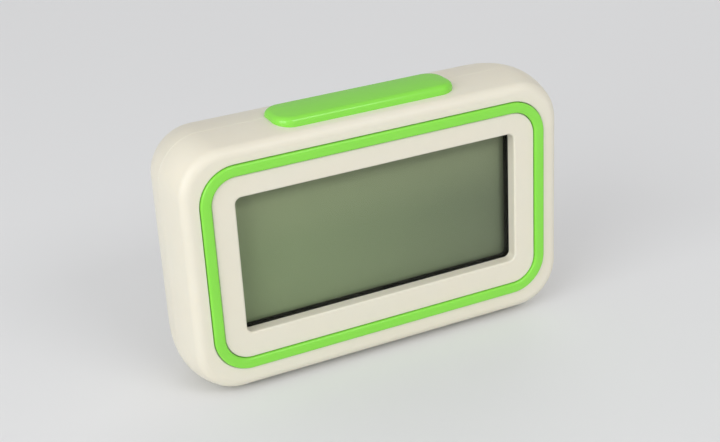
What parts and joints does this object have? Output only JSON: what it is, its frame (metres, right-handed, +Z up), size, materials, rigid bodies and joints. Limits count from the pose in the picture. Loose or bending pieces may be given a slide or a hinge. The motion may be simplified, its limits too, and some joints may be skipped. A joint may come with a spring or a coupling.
{
  "type": "desktop lcd timer clock",
  "caption": "Small battery-powered desk timer clock: rounded plastic case, recessed LCD, coloured accent ring, wide bar button on top, keys and battery door on the back.",
  "frame": {"origin": "centre of the object's box in X and Y, on the floor that the rubber feet stand on", "axes": "+X to the right of someone facing the display, +Y from the display towards the back, +Z up"},
  "size_m": [0.112, 0.0322, 0.0722],
  "materials": {
    "cream_case": "fine satin moulded ABS",
    "green_gloss": "glossy moulded ABS",
    "clear_window": "clear acrylic sheet",
    "black_gasket": "closed-cell foam",
    "display_film": "grey-green polarising film, satin",
    "display_glass": "polished thin glass",
    "reflector_foil": "brushed reflective foil",
    "white_plastic": "plain moulded nylon",
    "zebra_rubber": "silicone with carbon layers",
    "circuit_board": "green solder mask on glass fibre",
    "black_epoxy": "moulded component body",
    "bright_steel": "nickel or zinc plated",
    "key_plastic": "satin moulded keys",
    "knob_plastic": "black nylon",
    "foot_rubber": "soft grey rubber",
    "cell_sleeve": "plain printed sleeve",
    "cone_paper": "pressed black paper",
    "wire_insulation": "PVC insulation"
  },
  "bodies": {
    "case": {"front_shell": "cream_case", "rear_shell": "cream_case", "accent_ring": "green_gloss", "window_lens": "clear_window", "lcd_gasket": "black_gasket", "lcd_polarizer": "display_film", "lcd_front_glass": "display_glass", "lcd_rear_glass": "display_glass", "lcd_reflector": "reflector_foil", "lcd_frame": "white_plastic", "ribbon_cable": "white_plastic", "zebra_strip": "zebra_rubber", "main_pcb": "circuit_board", "key_pcb": "circuit_board", "controller_blob": "black_epoxy", "filter_capacitor": "black_epoxy", "top_switch_body": "black_epoxy", "speaker_magnet": "black_epoxy", "mode_switch_body": "black_epoxy", "set_switch_body": "black_epoxy", "up_switch_body": "black_epoxy", "down_switch_body": "black_epoxy", "clock_crystal": "bright_steel", "main_pcb_screw_left": "bright_steel", "main_pcb_screw_right": "bright_steel", "key_pcb_screw_left": "bright_steel", "key_pcb_screw_right": "bright_steel", "top_bar_spring_left": "bright_steel", "top_bar_spring_right": "bright_steel", "slide_switch_body": "bright_steel", "speaker_frame": "bright_steel", "battery_contact_positive": "bright_steel", "battery_contact_negative": "bright_steel", "battery_contact_bridge": "bright_steel", "case_screw_1": "bright_steel", "case_screw_2": "bright_steel", "case_screw_3": "bright_steel", "case_screw_4": "bright_steel", "foot_1": "foot_rubber", "foot_2": "foot_rubber", "foot_3": "foot_rubber", "foot_4": "foot_rubber", "battery_cell_upper": "cell_sleeve", "battery_cell_lower": "cell_sleeve", "speaker_cone": "cone_paper", "battery_leads": "wire_insulation", "speaker_leads": "wire_insulation"},
    "bar": {"top_bar": "green_gloss", "top_switch_plunger": "white_plastic"},
    "mode_button": {"mode_key": "key_plastic", "mode_switch_plunger": "white_plastic"},
    "set_button": {"set_key": "key_plastic", "set_switch_plunger": "white_plastic"},
    "up_button": {"up_key": "key_plastic", "up_switch_plunger": "white_plastic"},
    "down_button": {"down_key": "key_plastic", "down_switch_plunger": "white_plastic"},
    "slider": {"slide_switch_knob": "knob_plastic"},
    "door": {"battery_door": "cream_case"}
  },
  "joints": [
    {"name": "top_bar_press", "type": "slide", "parent": "case", "child": "bar", "axis": [0, 0, -1], "range_m": [0, 0.001], "stiffness_N_per_m": 800, "springref_m": -0.001, "deforming": ["top_bar_spring_left", "top_bar_spring_right"]},
    {"name": "mode_key_press", "type": "slide", "parent": "case", "child": "mode_button", "axis": [0, -1, 0], "range_m": [0, 0.0006], "stiffness_N_per_m": 1500, "springref_m": -0.0003},
    {"name": "set_key_press", "type": "slide", "parent": "case", "child": "set_button", "axis": [0, -1, 0], "range_m": [0, 0.0006], "stiffness_N_per_m": 1500, "springref_m": -0.0003},
    {"name": "up_key_press", "type": "slide", "parent": "case", "child": "up_button", "axis": [0, -1, 0], "range_m": [0, 0.0006], "stiffness_N_per_m": 1500, "springref_m": -0.0003},
    {"name": "down_key_press", "type": "slide", "parent": "case", "child": "down_button", "axis": [0, -1, 0], "range_m": [0, 0.0006], "stiffness_N_per_m": 1500, "springref_m": -0.0003},
    {"name": "slide_switch", "type": "slide", "parent": "case", "child": "slider", "axis": [1, 0, 0], "range_m": [0, 0.0024]},
    {"name": "battery_door_hinge", "type": "hinge", "parent": "case", "child": "door", "pos_m": [0.012, 0.01535, 0.01015], "axis": [-1, 0, 0], "range_deg": [0, 75]}
  ]
}
